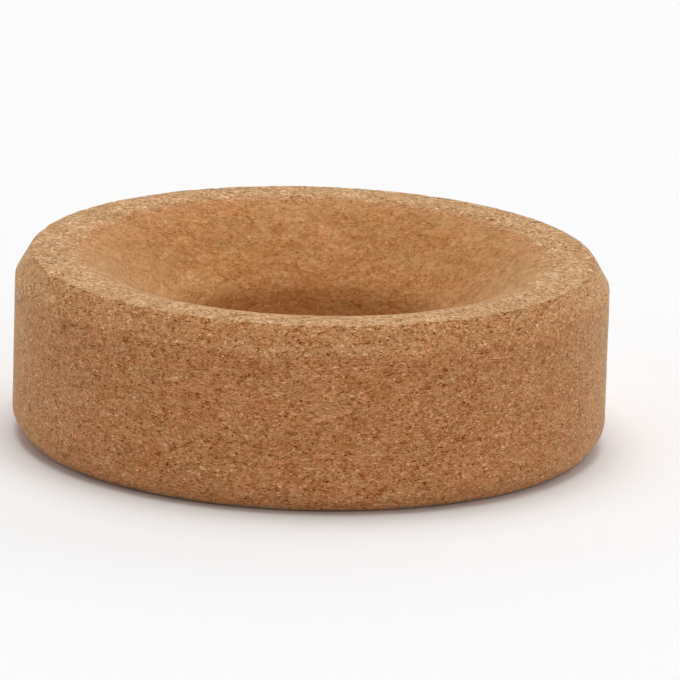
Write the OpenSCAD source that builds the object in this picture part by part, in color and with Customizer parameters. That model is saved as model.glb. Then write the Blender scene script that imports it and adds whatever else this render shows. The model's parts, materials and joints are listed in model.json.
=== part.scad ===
// Cork ring: a turned ring of agglomerated cork that holds a round-bottomed
// vessel upright on the bench. One piece, no joints. Millimetres, +Z up,
// origin on the ring's axis in the plane of its flat base.

/* [Ring] */
// Outside diameter of the ring
outer_d = 95; // [92:1:120]
// Height of the ring, base to top land
ring_h = 30; // [26:1:40]

/* [Top edge] */
// How far the top outer chamfer reaches in from the side
top_chamfer_in = 2.45; // [1.5:0.05:4]
// How far the top outer chamfer reaches down the side
top_chamfer_down = 4.3; // [2.5:0.1:6]
// Radius that breaks both corners of the top chamfer
top_break_r = 1.0; // [0.4:0.1:1.2]

/* [Bottom edge] */
// How far the bottom outer chamfer reaches in from the side
bottom_chamfer_in = 2.2; // [1.5:0.05:4]
// How far the bottom outer chamfer reaches up the side
bottom_chamfer_up = 3.5; // [3:0.1:6]
// Radius that rounds both corners of the bottom chamfer
bottom_round_r = 2.6; // [0.5:0.1:2.6]

/* [Seat] */
// Diameter at which the seat's slope would meet the top land
seat_d = 70.6; // [68:0.2:76]
// Depth of the seat, from the top land down to the bore
seat_depth = 10.9; // [9:0.1:14]
// Radius that rounds the brow between the land and the seat
seat_brow_r = 15; // [1:0.5:16]

/* [Bore] */
// Diameter of the through bore
bore_d = 42.8; // [38:0.2:46]
// Radius that rounds the mouth of the bore inside the seat
bore_mouth_r = 5; // [0.5:0.1:6]
// Radius that breaks the bore's edge at the base
bore_foot_r = 0.5; // [0.2:0.1:1]

/* [Hidden] */
$fn = 180;
outer_r = outer_d / 2;
seat_r = seat_d / 2;
bore_r = bore_d / 2;
// Overlap that lets each rounding cut cleanly through the sides it meets
weld = 0.0001;
// How far each rounding's piece reaches into the body behind it
root = 5;
// How far a trim stands outside the body, to pass over a wide rounding's crown
clear = 3;

// Corners of the half section as [radius, height, rounding], anticlockwise
// from the foot of the bore. Every corner is convex.
corners = [
    [bore_r, 0, bore_foot_r],
    [outer_r - bottom_chamfer_in, 0, bottom_round_r],
    [outer_r, bottom_chamfer_up, bottom_round_r],
    [outer_r, ring_h - top_chamfer_down, top_break_r],
    [outer_r - top_chamfer_in, ring_h, top_break_r],
    [seat_r, ring_h, seat_brow_r],
    [bore_r, ring_h - seat_depth, bore_mouth_r]
];

function unit(v) = v / norm(v);
function point(c) = [c[0], c[1]];
// Unit vectors from corner i to the corners on either side of it
function back_dir(c, i) = unit(point(c[(i + len(c) - 1) % len(c)]) - point(c[i]));
function fore_dir(c, i) = unit(point(c[(i + 1) % len(c)]) - point(c[i]));
// Half the angle inside the corner
function half_angle(c, i) = acos(back_dir(c, i) * fore_dir(c, i)) / 2;
// Distance from the corner to where its rounding meets each side
function tangent_len(c, i) = c[i][2] / tan(half_angle(c, i));
// Centre of the rounding arc
function arc_centre(c, i) =
    point(c[i]) + unit(back_dir(c, i) + fore_dir(c, i)) * c[i][2] / sin(half_angle(c, i));

// Outline through every tangent point, so each corner is cut straight across
function cut_outline(c) = [
    for (i = [0 : len(c) - 1])
        for (d = [back_dir(c, i), fore_dir(c, i)])
            point(c[i]) + d * tangent_len(c, i)
];

// Rounding at corner i: a disc that touches both sides, trimmed where it is
// too large to fit inside the section
module rounding(i) {
    r = corners[i][2];
    ctr = arc_centre(corners, i);
    if (r <= root)
        translate(ctr) circle(r = r + weld);
    else {
        // The trim runs a little past both tangent points
        past = tangent_len(corners, i) + 0.4;
        a = point(corners[i]) + back_dir(corners, i) * past;
        b = point(corners[i]) + fore_dir(corners, i) * past;
        intersection() {
            translate(ctr) circle(r = r + weld, $fn = 1440);
            polygon([
                a + unit(ctr - a) * root, a - unit(ctr - a) * clear,
                b - unit(ctr - b) * clear, b + unit(ctr - b) * root
            ]);
        }
    }
}

// Half section of the ring, drawn with radius along X and height along Y
module ring_section() {
    polygon(cut_outline(corners));
    for (i = [0 : len(corners) - 1])
        rounding(i);
}

// The ring itself, turned as one piece
module cork_ring() {
    color("peru") rotate_extrude() ring_section();
}

cork_ring();
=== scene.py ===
"""Looks of the cork ring: one turned ring of agglomerated cork, built as a closed mesh
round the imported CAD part, with a procedural cork material, studio light and camera."""

import json
import math

import bpy
import numpy as np
from mathutils import Matrix, Vector


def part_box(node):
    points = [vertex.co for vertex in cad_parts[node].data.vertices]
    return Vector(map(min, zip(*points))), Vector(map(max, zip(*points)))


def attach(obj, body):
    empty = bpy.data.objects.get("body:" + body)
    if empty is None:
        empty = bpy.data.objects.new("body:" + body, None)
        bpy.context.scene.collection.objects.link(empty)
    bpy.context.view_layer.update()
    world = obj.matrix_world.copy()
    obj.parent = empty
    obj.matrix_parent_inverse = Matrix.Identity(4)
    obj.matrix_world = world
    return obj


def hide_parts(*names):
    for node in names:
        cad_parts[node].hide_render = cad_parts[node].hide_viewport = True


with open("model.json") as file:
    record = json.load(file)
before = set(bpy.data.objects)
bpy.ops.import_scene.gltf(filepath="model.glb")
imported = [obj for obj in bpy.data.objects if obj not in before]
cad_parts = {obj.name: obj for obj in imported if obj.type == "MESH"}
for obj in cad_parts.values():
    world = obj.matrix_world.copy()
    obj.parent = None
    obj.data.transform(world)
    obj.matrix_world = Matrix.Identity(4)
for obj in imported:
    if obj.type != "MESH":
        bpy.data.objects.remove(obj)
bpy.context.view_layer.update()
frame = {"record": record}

MM = 0.001
SEED = 20260

# ---------------------------------------------------------------- sizes, mm
low, high = (np.array(p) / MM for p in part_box("cork_ring"))
R = float(min(high[0], high[1], -low[0], -low[1]))
H = float(high[2])
BORE = next(float(m["dims"]["r_mm"]) for m in frame["record"]["mounts"] if m["kind"] == "bore")
SEAT_R = 35.3  # where the seat's slope would meet the top land
LIP_R = 38.1  # where the sawn land gives way to the moulded seat
# Corners of the half section: radius, height, rounding; anticlockwise from the bore's foot
CORNERS = [
    (BORE, 0.0, 0.5),
    (R - 2.2, 0.0, 2.6),
    (R, 3.5, 2.6),
    (R, H - 4.3, 1.0),
    (R - 2.45, H, 1.0),
    (SEAT_R, H, 15.0),
    (BORE, H - 10.9, 5.0),
]
COARSE_R = 31.0  # inside this radius the mesh has half as many segments
SEGS = 600


# ---------------------------------------------------------------- noise
def hashed(ix, iy, iz, seed):
    """A repeatable number from 0 to 1 for each lattice point."""
    m = np.uint64(0xFFFFFFFF)
    h = (
        ix.astype(np.int64).astype(np.uint64) * np.uint64(374761393)
        + iy.astype(np.int64).astype(np.uint64) * np.uint64(668265263)
        + iz.astype(np.int64).astype(np.uint64) * np.uint64(2246822519)
        + np.uint64(seed * 3266489917)
    ) & m
    for k in (15, 13, 16):
        h = ((h ^ (h >> np.uint64(k))) * np.uint64(2654435761)) & m
    return (h ^ (h >> np.uint64(16))) / float(1 << 32)


def gradient_noise(p, seed):
    """Smooth noise of about -1 to 1 with one bump a unit."""
    cell = np.floor(p)
    f = p - cell
    w = f * f * f * (f * (f * 6 - 15) + 10)
    total = np.zeros(len(p))
    for dx in (0, 1):
        for dy in (0, 1):
            for dz in (0, 1):
                c = cell + (dx, dy, dz)
                a = hashed(c[:, 0], c[:, 1], c[:, 2], seed) * 2 * np.pi
                b = hashed(c[:, 0], c[:, 1], c[:, 2], seed + 7) * 2 - 1
                q = np.sqrt(np.maximum(0, 1 - b * b))
                d = f - (dx, dy, dz)
                g = q * np.cos(a) * d[:, 0] + q * np.sin(a) * d[:, 1] + b * d[:, 2]
                weight = (
                    (w[:, 0] if dx else 1 - w[:, 0])
                    * (w[:, 1] if dy else 1 - w[:, 1])
                    * (w[:, 2] if dz else 1 - w[:, 2])
                )
                total += weight * g
    return total * 1.6


def smooth(a, b, x):
    t = np.clip((x - a) / (b - a), 0, 1)
    return t * t * (3 - 2 * t)


# ---------------------------------------------------------------- profile
def rounded(corners):
    """The section's outline with its corners rounded, as dense points."""
    n, out = len(corners), []
    for i in range(n):
        p = np.array(corners[i][:2])
        a = np.array(corners[i - 1][:2]) - p
        b = np.array(corners[(i + 1) % n][:2]) - p
        a, b = a / np.linalg.norm(a), b / np.linalg.norm(b)
        r = corners[i][2]
        half = math.acos(float(np.clip(a @ b, -1, 1))) / 2
        t = r / math.tan(half)
        c = p + (a + b) / np.linalg.norm(a + b) * r / math.sin(half)
        t1, t2 = p + a * t - c, p + b * t - c
        a1 = math.atan2(t1[1], t1[0])
        turn = (math.atan2(t2[1], t2[0]) - a1 + math.pi) % (2 * math.pi) - math.pi
        k = max(12, int(abs(turn) * r / 0.03))
        for s in np.linspace(0, 1, k + 1):
            out.append(c + r * np.array([math.cos(a1 + turn * s), math.sin(a1 + turn * s)]))
    return np.array(out)


def spacing(r, z):
    """Wanted distance between rows of vertices there."""
    if z < 0.02:
        return 1.2 if 22 < r < 42 else (0.45 if r > 42 else 0.35)
    if r < BORE + 0.6 and z < 0.6:
        return 0.16
    if r < BORE + 0.02:
        return 0.85
    if z > H - 0.4 and r < R - 3.5:
        return 0.36
    if z > H - 4.9 and r > R - 3.6:
        return 0.29
    if z < 4.6 and r > 40:
        return 0.4
    if r > R - 0.05:
        return 0.52
    return 0.44


def rows():
    dense = rounded(CORNERS)
    ring = np.vstack([dense, dense[:1]])
    step = np.linalg.norm(np.diff(ring, axis=0), axis=1)
    s = np.concatenate([[0], np.cumsum(step)])
    # Walks the outline and drops a row whenever the wanted spacing has gone by
    fine = np.linspace(0, s[-1], 40001)
    fr, fz = np.interp(fine, s, ring[:, 0]), np.interp(fine, s, ring[:, 1])
    rate = np.array([1 / spacing(a, b) for a, b in zip(fr, fz)])
    count = np.concatenate([[0], np.cumsum((rate[1:] + rate[:-1]) / 2 * np.diff(fine))])
    total = int(round(count[-1]))
    at = np.interp(np.arange(total) * count[-1] / total, count, fine)
    r, z = np.interp(at, s, ring[:, 0]), np.interp(at, s, ring[:, 1])
    # Outward normal from a short chord either side
    e = 0.05
    def place(t):
        t = t % s[-1]
        return np.stack([np.interp(t, s, ring[:, 0]), np.interp(t, s, ring[:, 1])], 1)
    tangent = place(at + e) - place(at - e)
    tangent /= np.linalg.norm(tangent, axis=1)[:, None]
    corner = s[np.argmin(np.linalg.norm(ring - (R - 2.45, H), axis=1))]
    return at, r, z, tangent, corner, s[-1]


S, RR, ZZ, TT, S_EDGE, S_ALL = rows()
NR, NZ = TT[:, 1], -TT[:, 0]
COUNT = len(S)
SEG = np.where(RR > COARSE_R, SEGS, SEGS // 2)
START = np.concatenate([[0], np.cumsum(SEG)])

theta = np.concatenate([np.arange(n) * 2 * np.pi / n for n in SEG])
row = np.repeat(np.arange(COUNT), SEG)
cos, sin = np.cos(theta), np.sin(theta)
pos = np.stack([RR[row] * cos, RR[row] * sin, ZZ[row]], 1)
nor = np.stack([NR[row] * cos, NR[row] * sin, NZ[row]], 1)
along = np.stack([TT[row, 0] * cos, TT[row, 0] * sin, TT[row, 1]], 1)
around = np.stack([-sin, cos, np.zeros(len(sin))], 1)
edge = S[row] - S_EDGE

# ---------------------------------------------------------------- relief, always inwards
rng = np.random.default_rng(SEED)
underside = ZZ[row] < 0.02
depth = 0.045 * (1 + gradient_noise(pos / 6.5, 1))
depth += 0.030 * (1 + gradient_noise(pos / 2.3, 2))
depth += 0.020 * (1 + gradient_noise(pos / (1.25, 1.25, 1.0), 3))
depth = np.maximum(depth, 0)
depth *= np.where(underside, 0.35, 1.0)

# Crumbled edge between the top chamfer and the land
crumb = smooth(0.05, 0.6, gradient_noise(pos / (1.3, 1.3, 1.0) + 11.0, 4) + 0.35 * gradient_noise(pos / 5.0, 5))
depth += 0.12 * crumb * np.exp(-((edge / 0.65) ** 2))

# Open pores and lost granules
PITS = 240
sample_s = rng.random(PITS * 6) * S_ALL
sample_r = np.interp(sample_s, S, RR)
keep = rng.random(PITS * 6) < sample_r / R
pit_s, pit_a = sample_s[keep][:PITS], rng.random(PITS * 6)[keep][:PITS] * 2 * np.pi
pits = [
    (s, a, ra, ra * fl, ti, dp)
    for s, a, ra, fl, ti, dp in zip(
        pit_s,
        pit_a,
        0.34 + 0.5 * rng.random(len(pit_s)) ** 2,
        0.45 + 0.5 * rng.random(len(pit_s)),
        rng.normal(0, 0.5, len(pit_s)),
        0.10 + 0.16 * rng.random(len(pit_s)),
    )
]
near = np.full(len(pos), 4.0)
for s, a, ra, rb, tilt, dp in pits:
    pr, pz = np.interp(s, S, RR), np.interp(s, S, ZZ)
    d = pos - (pr * math.cos(a), pr * math.sin(a), pz)
    close = np.abs(d).max(1) < 4 * ra
    u = (d[close] * around[close]).sum(1)
    v = (d[close] * along[close]).sum(1)
    u, v = u * math.cos(tilt) + v * math.sin(tilt), v * math.cos(tilt) - u * math.sin(tilt)
    q = np.sqrt((u / ra) ** 2 + (v / rb) ** 2)
    depth[close] += dp * (1 - smooth(0.2, 1.35, q))
    near[close] = np.minimum(near[close], q)

pos = pos - nor * depth[:, None]

# ---------------------------------------------------------------- faces and flat map
quads, tris = [], []
face_rows = []
for j in range(COUNT):
    k = (j + 1) % COUNT
    a, b, na, nb = START[j], START[k], SEG[j], SEG[k]
    i = np.arange(min(na, nb))
    n = len(i)
    if na == nb:
        i2 = (i + 1) % n
        quads.append(np.stack([a + i, a + i2, b + i2, b + i], 1))
        face_rows.append((4, j, k, np.stack([i, i + 1, i + 1, i], 1) / n))
    else:
        # 2:1 change of density: three triangles to each coarse segment
        coarse, fine, flip = (a, b, False) if na < nb else (b, a, True)
        i2, f0, f1, f2 = (i + 1) % n, 2 * i, 2 * i + 1, (2 * i + 2) % (2 * n)
        sets = [
            (coarse + i, fine + f1, fine + f0, i / n, (2 * i + 1) / (2 * n), i / n),
            (coarse + i, coarse + i2, fine + f1, i / n, (i + 1) / n, (2 * i + 1) / (2 * n)),
            (coarse + i2, fine + f2, fine + f1, (i + 1) / n, (i + 1) / n, (2 * i + 1) / (2 * n)),
        ]
        for x, y, w, tx, ty, tw in sets:
            order = [0, 1, 2] if not flip else [0, 2, 1]
            tris.append(np.stack([x, y, w], 1)[:, order])
            face_rows.append((3, j, k, np.stack([tx, ty, tw], 1)[:, order]))

faces, turns = [], []
quads, tris = iter(quads), iter(tris)
for kind, j, k, turn in face_rows:
    faces.extend((next(quads) if kind == 4 else next(tris)).tolist())
    turns.extend(turn.tolist())

# Each face belongs to one flat island: top disc, two halves of the wall, base disc, bore
def island(j):
    r, z = (RR[j] + RR[(j + 1) % COUNT]) / 2, (ZZ[j] + ZZ[(j + 1) % COUNT]) / 2
    if z < 0.3:
        return "base"
    if r < BORE + 0.9 and z < H - 10:
        return "bore"
    if z > H - 0.15 or r < R - 3.2:
        return "top"
    return "wall"

cuts = {}
for j in range(COUNT):
    cuts.setdefault(island(j), []).append(j)


def span(name):
    js = cuts[name]
    if 0 in js and COUNT - 1 in js:  # the island that the outline's start falls in
        js = [j for j in js if j > COUNT // 2] + [j for j in js if j <= COUNT // 2]
    return js


SIDE = 196.0  # mm of surface across the whole map

mesh = bpy.data.meshes.new("cork_body")
mesh.from_pydata((pos * MM).tolist(), [], faces)
mesh.validate()
mesh.update()
mesh.polygons.foreach_set("use_smooth", [True] * len(mesh.polygons))
# The top face shows its grain strongly, partly as a sawn face and partly as painted shade and highlight of its small
# bumps seen at a low angle; the moulded seat and bore less
on_seat = (1 - smooth(LIP_R - 3.5, LIP_R + 0.5, RR[row])) * smooth(0.5, 3.0, ZZ[row])
on_land = smooth(H - 0.6, H - 0.1, ZZ[row])
on_chamfer = smooth(H - 5.0, H - 4.0, ZZ[row]) * smooth(R - 4.4, R - 2.4, RR[row])
for name, value in (
    ("near", near),
    ("edge", np.clip(edge, -6, 6)),
    ("land", np.maximum(on_land, 0.6 * on_chamfer)),
    ("seat", on_seat),
):
    mesh.attributes.new(name, "FLOAT", "POINT").data.foreach_set("value", value.astype(np.float32))

layer = mesh.uv_layers.new(name="OFBake")
row_of = row
spans = {name: span(name) for name in cuts}
first_of = {name: js[0] for name, js in spans.items()}
whole_of = {name: (S[(js[-1] + 1) % COUNT] - S[js[0]]) % S_ALL for name, js in spans.items()}
name_of = {j: name for name, js in cuts.items() for j in js}
uv = np.zeros((sum(len(f) for f in faces), 2))
at = 0
f_index = 0
for kind, j, k, turn in face_rows:
    name = name_of[j]
    n = len(turn)
    verts = np.array(faces[f_index : f_index + n])
    rows_here = row_of[verts]
    s = (S[rows_here] - S[first_of[name]]) % S_ALL
    s = np.where(s > S_ALL - 1e-6, 0, s)
    # the row after the island's last one may be the outline's first
    s = np.where((s == 0) & (rows_here != first_of[name]), whole_of[name], s)
    if name in ("top", "base"):
        rho = 45.6 - s if name == "top" else 45.6 - (whole_of[name] - s)
        x, y = rho * np.cos(turn * 2 * np.pi), rho * np.sin(turn * 2 * np.pi)
        u, v = (48.0 + x, 48.0 + y) if name == "top" else (146.0 - x, 48.0 + y)
    elif name == "wall":
        half = (turn.mean(1) > 0.5).astype(float)[:, None]
        u, v = 3.0 + (turn - 0.5 * half) * 2 * np.pi * R, 99.0 + half * 36.0 + s
    else:
        u, v = 3.0 + turn * 2 * np.pi * (BORE + 0.3), 172.0 + s
    uv[at : at + n * kind] = np.stack([u.ravel(), v.ravel()], 1) / SIDE
    at += n * kind
    f_index += n
layer.uv.foreach_set("vector", uv.astype(np.float32).ravel())

body = bpy.data.objects.new("cork_body", mesh)
bpy.context.scene.collection.objects.link(body)
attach(body, "root")
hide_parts("cork_ring")


# ---------------------------------------------------------------- cork material
class Graph:
    """Short calls for making shader nodes."""

    def __init__(self, tree):
        self.tree = tree

    def put(self, socket, value):
        if isinstance(value, bpy.types.NodeSocket):
            self.tree.links.new(value, socket)
        else:
            socket.default_value = value

    def node(self, kind, **settings):
        n = self.tree.nodes.new(kind)
        for k, v in settings.items():
            setattr(n, k, v)
        return n

    def math(self, op, a, b=None, c=None, clamp=False):
        n = self.node("ShaderNodeMath", operation=op, use_clamp=clamp)
        for i, v in enumerate((a, b, c)):
            if v is not None:
                self.put(n.inputs[i], v)
        return n.outputs[0]

    def vector(self, op, a, b=None, scale=None):
        n = self.node("ShaderNodeVectorMath", operation=op)
        self.put(n.inputs[0], a)
        if b is not None:
            self.put(n.inputs[1], b)
        if scale is not None:
            self.put(n.inputs["Scale"], scale)
        return n.outputs["Value"] if op in ("DOT_PRODUCT", "LENGTH", "DISTANCE") else n.outputs[0]

    def noise(self, at, size, detail=2.0, rough=0.5, twist=0.0):
        """Noise with one bump every size mm: (value of about 0 to 1, colour)."""
        n = self.node("ShaderNodeTexNoise", noise_dimensions="3D")
        self.put(n.inputs["Vector"], at)
        n.inputs["Scale"].default_value = 1 / size
        n.inputs["Detail"].default_value = detail
        n.inputs["Roughness"].default_value = rough
        n.inputs["Distortion"].default_value = twist
        return n.outputs["Fac"], n.outputs["Color"]

    def cells(self, at, size, feature="F1", random=1.0):
        n = self.node("ShaderNodeTexVoronoi", voronoi_dimensions="3D", feature=feature)
        self.put(n.inputs["Vector"], at)
        n.inputs["Scale"].default_value = 1 / size
        n.inputs["Randomness"].default_value = random
        return n

    def step(self, x, a, b, lo=0.0, hi=1.0):
        """lo where x is a or less, hi where x is b or more, smooth between."""
        n = self.node("ShaderNodeMapRange", interpolation_type="SMOOTHSTEP")
        for name, v in (("Value", x), ("From Min", a), ("From Max", b), ("To Min", lo), ("To Max", hi)):
            self.put(n.inputs[name], v)
        return n.outputs["Result"]

    def parts(self, colour):
        n = self.node("ShaderNodeSeparateColor")
        self.put(n.inputs[0], colour)
        return n.outputs

    def sum(self, *terms):
        """Adds (weight, value) pairs; a bare number is added as it is."""
        total = None
        for t in terms:
            v = t if not isinstance(t, tuple) else self.math("MULTIPLY", t[1], t[0])
            total = v if total is None else self.math("ADD", total, v)
        return total


def cork():
    mat = bpy.data.materials.new("cork_agglomerate")
    mat.use_nodes = True
    tree = mat.node_tree
    tree.nodes.clear()
    g = Graph(tree)
    out = g.node("ShaderNodeOutputMaterial")
    shader = g.node("ShaderNodeBsdfPrincipled")
    tree.links.new(shader.outputs[0], out.inputs["Surface"])
    c = lambda v: g.math("SUBTRACT", v, 0.5)
    shift = lambda v, x, y, z: g.vector("ADD", v, (x, y, z))
    scaled = lambda v, x, y, z: g.vector("MULTIPLY", v, (x, y, z))

    # Coordinates in mm, squashed a little in height as pressed granules are
    place = g.node("ShaderNodeTexCoord").outputs["Object"]
    mm = scaled(place, 900.0, 900.0, 1640.0)
    _, wander = g.noise(mm, 0.9, 2.0, 0.6)
    bent = g.vector("ADD", mm, scaled(shift(wander, -0.5, -0.5, -0.5), 0.9, 0.9, 0.9))

    # Granules of two sizes. Each has its own tone, and its own lie of the cork's layers
    def granules(at, size, squeeze, layer):
        """(tone and hue of each granule, layers within it, distance to its edge)"""
        colour = g.cells(at, size).outputs["Color"]
        lie = g.vector("NORMALIZE", shift(colour, -0.5, -0.5, -0.5))
        across = g.math("MULTIPLY", g.vector("DOT_PRODUCT", mm, lie), squeeze - 1.0)
        layered = g.vector("ADD", mm, g.vector("SCALE", lie, scale=across))
        layers, _ = g.noise(layered, layer, 2.0, 0.65)
        seam = g.cells(at, size, "DISTANCE_TO_EDGE").outputs["Distance"]
        return g.parts(colour), layers, seam

    big_tone, big_layers, big_seam = granules(bent, 1.9, 2.4, 1.15)
    small_tone, small_layers, small_seam = granules(shift(bent, 31.0, 7.0, 13.0), 0.95, 2.2, 0.80)

    mottle, _ = g.noise(mm, 0.60, 3.0, 0.75)
    fine, _ = g.noise(shift(scaled(mm, 0.85, 0.85, 1.4), 5.0, 9.0, 2.0), 0.38, 2.0, 0.75)
    cloud, cloud_col = g.noise(mm, 8.0, 2.0, 0.5)
    patch, _ = g.noise(shift(mm, 50.0, 3.0, 20.0), 2.4, 2.0, 0.5)
    gate, _ = g.noise(shift(mm, 17.0, 40.0, 8.0), 1.2, 1.0, 0.5)

    # Dark cracks along some seams only: partly painted shade in the gaps between granules, partly darker cork between
    # them
    crack = g.math("MULTIPLY", g.step(big_seam, 0.02, 0.06, 1.0, 0.0), g.step(gate, 0.55, 0.60))
    crack2 = g.math("MULTIPLY", g.step(small_seam, 0.03, 0.11, 1.0, 0.0), g.step(gate, 0.44, 0.39))

    def spots(at, size, pick, share, radius, soft=0.10):
        """Blobs in that share of the cells, of random size up to radius (both in cells)."""
        cell = g.cells(at, size)
        chance = g.parts(cell.outputs["Color"])[pick]
        r = g.step(chance, 1 - share, 1.0, 0.45 * radius, radius)
        blob = g.step(g.math("SUBTRACT", cell.outputs["Distance"], r), -soft, 0.4 * soft, 1.0, 0.0)
        return g.math("MULTIPLY", blob, g.step(chance, 1 - share, 1 - 0.9 * share))

    # Short dark strokes where granules lie flat, a few upright ones, and pores; their darkness is partly painted shade
    # in these small hollows and crevices, partly the cork's own dark marks
    strokes = spots(scaled(shift(bent, 9.0, 21.0, 33.0), 1.0, 1.0, 2.2), 0.85, 0, 0.28, 0.36)
    upright = spots(scaled(shift(bent, 19.0, 1.0, 53.0), 2.2, 2.2, 1.0), 0.90, 1, 0.10, 0.32)
    pores = spots(shift(mm, 40.0, 11.0, 23.0), 0.60, 2, 0.12, 0.24)
    # Pale flecks, some flat and some round
    flecks = spots(scaled(shift(bent, 71.0, 2.0, 45.0), 1.0, 1.0, 2.0), 0.90, 1, 0.26, 0.35)
    grains = spots(shift(mm, 7.0, 82.0, 5.0), 0.50, 0, 0.20, 0.28)

    near_pit = g.node("ShaderNodeAttribute", attribute_name="near").outputs["Fac"]
    ragged = g.sum(near_pit, (1.4, c(fine)), (2.0, c(mottle)))
    pit = g.step(ragged, 0.15, 0.75, 1.0, 0.0)
    # Crumbs missing along the top edge
    rim = g.node("ShaderNodeAttribute", attribute_name="edge").outputs["Fac"]
    rim_near = g.step(g.math("ABSOLUTE", g.sum(rim, (1.4, c(mottle)))), 0.05, 0.40, 1.0, 0.0)
    crumbs = g.math("MULTIPLY", rim_near, g.step(gate, 0.42, 0.56))

    def tails(v, gain):
        """The noise about 0, with its extremes drawn out."""
        t = c(v)
        return g.math("MULTIPLY_ADD", g.math("MULTIPLY", g.math("MULTIPLY", t, t), gain), t, t)

    layers1, layers2 = tails(big_layers, 14.0), tails(small_layers, 14.0)
    land = g.node("ShaderNodeAttribute", attribute_name="land").outputs["Fac"]
    seat = g.node("ShaderNodeAttribute", attribute_name="seat").outputs["Fac"]
    # Some granules are nearly plain and others strongly marked
    busy = g.sum(0.55, (0.50, big_tone[2]), (0.40, small_tone[2]))
    coarse_part = g.sum(
        (0.040, c(big_tone[0])),
        (0.060, c(small_tone[0])),
        (0.180, layers1),
        (0.070, c(patch)),
    )
    fine_part = g.sum(
        (0.200, layers2),
        (0.120, c(mottle)),
        (0.330, c(fine)),
    )
    # Dark marks: partly painted shade of crevices and pores, partly the cork's own darker colour
    darks = g.sum(
        (-0.190, g.step(small_layers, 0.34, 0.40, 1.0, 0.0)),
        (-0.120, crack),
        (-0.120, crack2),
        (-0.220, strokes),
        (-0.130, upright),
        (-0.170, pores),
    )
    lights = g.sum(
        (0.100, g.step(small_layers, 0.60, 0.66)),
        (0.120, grains),
        (0.110, flecks),
    )
    # The top's stronger marking: partly the sawn face's open grain, partly painted shade and highlight of its small
    # bumps seen at a low angle
    level = g.math("POWER", land, 3.0)
    dark_part = g.math("MULTIPLY", g.math("MULTIPLY", darks, busy), g.sum(1.0, (0.05, level), (-0.50, seat)))
    light_part = g.math("MULTIPLY", g.math("MULTIPLY", lights, busy), g.sum(1.0, (-0.45, level), (-0.48, seat)))
    tone = g.sum(
        -0.010,
        g.math("MULTIPLY", coarse_part, g.sum(1.0, (0.30, level), (0.12, seat))),
        g.math("MULTIPLY", g.math("MULTIPLY", fine_part, busy), g.sum(1.0, (0.85, level), (-0.75, seat))),
        dark_part,
        light_part,
        (0.070, c(cloud)),
        # Pits and the crumbled top edge are darkened: painted shade in these dents
        (-0.200, pit),
        (-0.140, crumbs),
    )
    # Hue drifts: some granules redder, some greener
    olive = g.step(patch, 0.62, 0.72)
    hue = g.sum((-0.022, olive), (0.019, c(big_tone[1])), (0.008, c(small_tone[1])), (0.036, c(g.parts(cloud_col)[1])))
    base = (0.755, 0.515, 0.334)
    # The tones are laid out as the eye sees them and then made linear
    # The top land, and less so the chamfer, is made paler and yellower: partly the sawn face's own colour, partly
    # painted sheen, the pale veil the top land shows when seen at a low angle
    pale = g.math("POWER", land, 2.0)
    # Dark marks keep the cork's redness and pale ones turn to cream
    red = g.sum(
        g.math("MULTIPLY", tone, g.sum(0.92, (-0.03, level))),
        (0.06, dark_part),
        (-0.04, light_part),
        hue,
        base[0],
        (0.022, pale),
    )
    # On the seat green is raised and blue lowered a little: partly the seat's own hue, partly painted shade that takes
    # back some of the pale veil its sheen gives where it is seen at a low angle
    green = g.sum((1.02, tone), (0.12, light_part), (-0.4, hue), base[1], (0.064, pale), (0.010, seat))
    blue = g.sum(
        g.math("MULTIPLY", tone, g.sum(1.04, (0.20, level))),
        (-0.09, dark_part),
        (0.03, light_part),
        (-0.5, hue),
        base[2],
        (0.066, pale),
        (-0.011, seat),
    )
    join = g.node("ShaderNodeCombineXYZ")
    for i, v in enumerate((red, green, blue)):
        g.put(join.inputs[i], g.math("POWER", g.math("MAXIMUM", v, 0.02), 2.2))
    tree.links.new(join.outputs[0], shader.inputs["Base Color"])

    rough = g.sum(0.66, (-0.35, tone), (0.10, c(fine)))
    g.put(shader.inputs["Roughness"], g.math("MINIMUM", g.math("MAXIMUM", rough, 0.45), 0.95))
    shader.inputs["Specular IOR Level"].default_value = 0.10
    shader.inputs["Sheen Weight"].default_value = 0.25
    shader.inputs["Sheen Tint"].default_value = (0.94, 1.0, 0.62, 1)
    shader.inputs["Sheen Roughness"].default_value = 0.5

    height = g.sum(
        (0.020, layers1),
        (0.018, layers2),
        (0.018, c(mottle)),
        (0.008, c(fine)),
        (0.010, c(small_tone[0])),
        (-0.020, crack),
        (-0.020, crack2),
        (-0.025, strokes),
        (-0.030, pores),
        (-0.080, pit),
        (-0.040, crumbs),
        (0.010, flecks),
    )
    bump = g.node("ShaderNodeBump")
    bump.inputs["Strength"].default_value = 1.0
    bump.inputs["Distance"].default_value = 0.001  # heights are in mm
    g.put(bump.inputs["Height"], height)
    tree.links.new(bump.outputs[0], shader.inputs["Normal"])
    return mat


mesh.materials.append(cork())

# ---------------------------------------------------------------- floor, light, camera
def plain(name, value):
    mat = bpy.data.materials.new(name)
    mat.use_nodes = True
    shader = mat.node_tree.nodes["Principled BSDF"]
    shader.inputs["Base Color"].default_value = (value, value, value, 1)
    shader.inputs["Roughness"].default_value = 0.9
    shader.inputs["Specular IOR Level"].default_value = 0.1
    return mat


floor_mesh = bpy.data.meshes.new("floor")
floor_mesh.from_pydata([(-4, -4, 0), (4, -4, 0), (4, 4, 0), (-4, 4, 0)], [], [(0, 1, 2, 3)])
floor_mesh.materials.append(plain("floor_white", 0.92))
floor = bpy.data.objects.new("floor", floor_mesh)
bpy.context.scene.collection.objects.link(floor)

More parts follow.
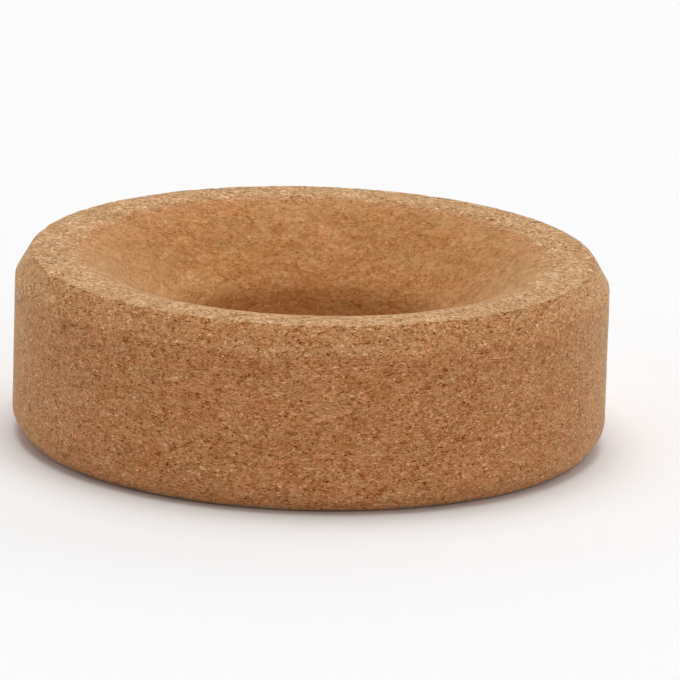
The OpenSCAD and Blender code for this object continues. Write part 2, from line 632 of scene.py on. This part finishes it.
# Wide soft suns: azimuth (0 is +X, 90 is the far side), elevation, strength, width
SUNS = [
    (-45, 18, 0.64, 50),
    (-45, 46, 0.18, 50),
    (0, 46, 0.15, 50),
    (0, 72, 0.12, 40),
    (45, 18, 0.56, 50),
    (45, 46, 0.12, 50),
    (90, 18, 0.51, 50),
    (90, 72, 0.69, 40),
    (135, 18, 0.29, 50),
    (180, 18, 0.24, 50),
    (180, 46, 0.17, 50),
    (180, 72, 0.14, 40),
    (225, 18, 0.34, 50),
    (0, 90, 1.16, 40),
]
for az, el, strength, width in SUNS:
    light = bpy.data.lights.new("sun_%d_%d" % (az, el), "SUN")
    light.energy = strength
    light.angle = math.radians(width)
    lamp = bpy.data.objects.new(light.name, light)
    a, e = math.radians(az), math.radians(el)
    towards = Vector((math.cos(a) * math.cos(e), math.sin(a) * math.cos(e), math.sin(e)))
    lamp.rotation_euler = (-towards).to_track_quat("-Z", "Y").to_euler()
    bpy.context.scene.collection.objects.link(lamp)

world = bpy.data.worlds.new("studio")
world.use_nodes = True
g = Graph(world.node_tree)
world.node_tree.nodes.clear()
seen = g.node("ShaderNodeBackground")
seen.inputs["Color"].default_value = (0.9, 0.9, 0.9, 1)
unseen = g.node("ShaderNodeBackground")
unseen.inputs["Strength"].default_value = 0.0
mix = g.node("ShaderNodeMixShader")
g.put(mix.inputs[0], g.node("ShaderNodeLightPath").outputs["Is Camera Ray"])
g.put(mix.inputs[1], unseen.outputs[0])
g.put(mix.inputs[2], seen.outputs[0])
g.put(g.node("ShaderNodeOutputWorld").inputs["Surface"], mix.outputs[0])
scene = bpy.context.scene
scene.world = world

camera = bpy.data.cameras.new("camera")
eye = bpy.data.objects.new("camera", camera)
scene.collection.objects.link(eye)
scene.camera = eye
target = Vector((0, 0, H * MM / 2))
tilt = 0.2606
spot = target + 1.5 * Vector((0, -math.cos(tilt), math.sin(tilt)))
turned = (target - spot).to_track_quat("-Z", "Y").to_matrix().to_4x4() @ Matrix.Rotation(0.0293, 4, "Z")
turned.translation = spot
eye.matrix_world = turned
camera.sensor_width = 36
camera.lens = 9392.1 / 680 * 36
camera.shift_x = (340 - 310.6) / 680
camera.shift_y = (344.3 - 340) / 680
camera.clip_end = 20

scene.view_settings.view_transform = "Standard"
scene.view_settings.look = "None"
scene.view_settings.exposure = 0
scene.view_settings.gamma = 1
